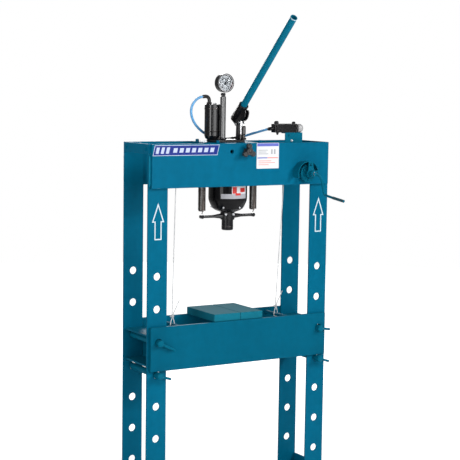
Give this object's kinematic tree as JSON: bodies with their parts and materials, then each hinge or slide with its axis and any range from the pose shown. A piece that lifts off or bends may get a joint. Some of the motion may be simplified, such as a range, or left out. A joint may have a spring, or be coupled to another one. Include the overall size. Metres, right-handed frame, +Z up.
{
  "type": "hydraulic shop press",
  "caption": "H-frame shop press with an inverted jack, hand lever and air pump, gauge, pinned bed, sliding plates and a rope winch with a crank.",
  "frame": {"origin": "on the floor under the middle of the press, on the underside of the base's cross tie", "axes": "+Z up, +X to the right as seen from the front, the front with the crank and the release knob faces -Y"},
  "size_m": [0.9961, 0.8277, 2.3286],
  "materials": {
    "teal_paint": "semi-gloss blue-green enamel",
    "worn_steel": "enamel worn to steel on top",
    "black_paint": "glossy black enamel",
    "dark_steel": "dark oiled steel",
    "bright_steel": "ground and plated",
    "galvanised": "galvanised",
    "black_plastic": "moulded black",
    "grey_plastic": "moulded light grey",
    "white_face": "printed white dial",
    "blue_hose": "smooth blue tube"
  },
  "bodies": {
    "frame": {"air_hose": "blue_hose", "air_pump_cylinder": "black_paint", "air_pump_elbow": "black_plastic", "base_cross_tie": "teal_paint", "bed_end_left": "teal_paint", "bed_end_right": "teal_paint", "bed_front_beam": "teal_paint", "bed_rear_beam": "teal_paint", "crosshead_end_tie_left": "teal_paint", "crosshead_end_tie_right": "teal_paint", "crosshead_front_plate": "teal_paint", "crosshead_rear_plate": "teal_paint", "foot_left": "teal_paint", "foot_right": "teal_paint", "gauge_case": "black_paint", "gauge_dial": "white_face", "gauge_riser": "black_paint", "jack_body": "black_paint", "jack_seat_plate": "teal_paint", "lower_side_tie_left": "teal_paint", "lower_side_tie_right": "teal_paint", "post_front_left": "teal_paint", "post_front_right": "teal_paint", "post_rear_left": "teal_paint", "post_rear_right": "teal_paint", "pump_barrel": "dark_steel", "pump_block": "black_paint", "pump_fulcrum": "black_paint", "relief_cartridge": "dark_steel", "return_spring_left": "dark_steel", "return_spring_right": "dark_steel", "rope_rod_left": "teal_paint", "rope_rod_right": "teal_paint", "sheave_axle": "galvanised", "spring_hanger_left": "teal_paint", "spring_hanger_right": "teal_paint", "valve_body": "black_plastic", "valve_bracket": "teal_paint", "winch_frame": "teal_paint", "wire_rope_left": "galvanised", "wire_rope_right": "galvanised"},
    "ram": {"ram": "dark_steel", "spring_crossbar": "black_paint"},
    "lever": {"lever_socket": "black_paint", "lever_tube": "teal_paint"},
    "plunger": {"pump_plunger": "bright_steel"},
    "needle": {"gauge_needle": "black_plastic"},
    "release_knob": {"release_knob": "black_plastic"},
    "air_knob": {"valve_knob": "grey_plastic"},
    "winch": {"winch_drum": "galvanised", "winch_disc": "dark_steel", "winch_crank": "teal_paint"},
    "sheave": {"rope_sheave": "galvanised"},
    "plate_left": {"press_plate_left": "worn_steel"},
    "plate_right": {"press_plate_right": "worn_steel"},
    "pin_upper_left": {"pin_upper_left": "teal_paint"},
    "pin_upper_right": {"pin_upper_right": "teal_paint"},
    "pin_lower_left": {"pin_lower_left": "teal_paint"},
    "pin_lower_right": {"pin_lower_right": "teal_paint"}
  },
  "joints": [
    {"name": "ram_slide", "type": "slide", "parent": "frame", "child": "ram", "axis": [0, 0, -1], "range_m": [0, 0.15], "stiffness_N_per_m": 1500, "springref_m": -0.08, "deforming": ["return_spring_left", "return_spring_right"]},
    {"name": "lever_hinge", "type": "hinge", "parent": "frame", "child": "lever", "pos_m": [0.04, -0.019, 1.833], "axis": [1, 0, 0], "range_deg": [-15, 20]},
    {"name": "plunger_slide", "type": "slide", "parent": "frame", "child": "plunger", "axis": [0, 0, -1], "range_m": [-0.0082, 0.0107]},
    {"name": "needle_hinge", "type": "hinge", "parent": "frame", "child": "needle", "pos_m": [-0.04, -0.0375, 2.0257], "axis": [0, 1, 0], "range_deg": [-175, 95]},
    {"name": "release_turn", "type": "hinge", "parent": "frame", "child": "release_knob", "pos_m": [0.01, -0.16, 1.713], "axis": [0, 1, 0], "range_deg": [-90, 180]},
    {"name": "air_knob_turn", "type": "hinge", "parent": "frame", "child": "air_knob", "pos_m": [0.308, -0.104, 1.8165], "axis": [1, 0, 0], "range_deg": [-180, 90]},
    {"name": "winch_turn", "type": "hinge", "parent": "frame", "child": "winch", "pos_m": [0.345, 0, 1.605], "axis": [0, 1, 0], "continuous": true},
    {"name": "sheave_turn", "type": "hinge", "parent": "frame", "child": "sheave", "pos_m": [-0.312, -0.1, 1.65], "axis": [0, 1, 0], "continuous": true},
    {"name": "pin_upper_left_slide", "type": "slide", "parent": "frame", "child": "pin_upper_left", "axis": [0, -1, 0], "range_m": [0, 0.33]},
    {"name": "pin_upper_right_slide", "type": "slide", "parent": "frame", "child": "pin_upper_right", "axis": [0, -1, 0], "range_m": [0, 0.33]},
    {"name": "pin_lower_left_slide", "type": "slide", "parent": "frame", "child": "pin_lower_left", "axis": [0, -1, 0], "range_m": [0, 0.33]},
    {"name": "pin_lower_right_slide", "type": "slide", "parent": "frame", "child": "pin_lower_right", "axis": [0, -1, 0], "range_m": [0, 0.33]},
    {"name": "plate_left_slide", "type": "slide", "parent": "frame", "child": "plate_left", "axis": [-1, 0, 0], "range_m": [0, 0.135]},
    {"name": "plate_right_slide", "type": "slide", "parent": "frame", "child": "plate_right", "axis": [1, 0, 0], "range_m": [0, 0.15]}
  ],
  "couplings": [
    {"joint": "plunger_slide", "follows": "lever_hinge", "m_per_rad": 0.0304},
    {"joint": "sheave_turn", "follows": "winch_turn", "ratio": 1.2247}
  ]
}
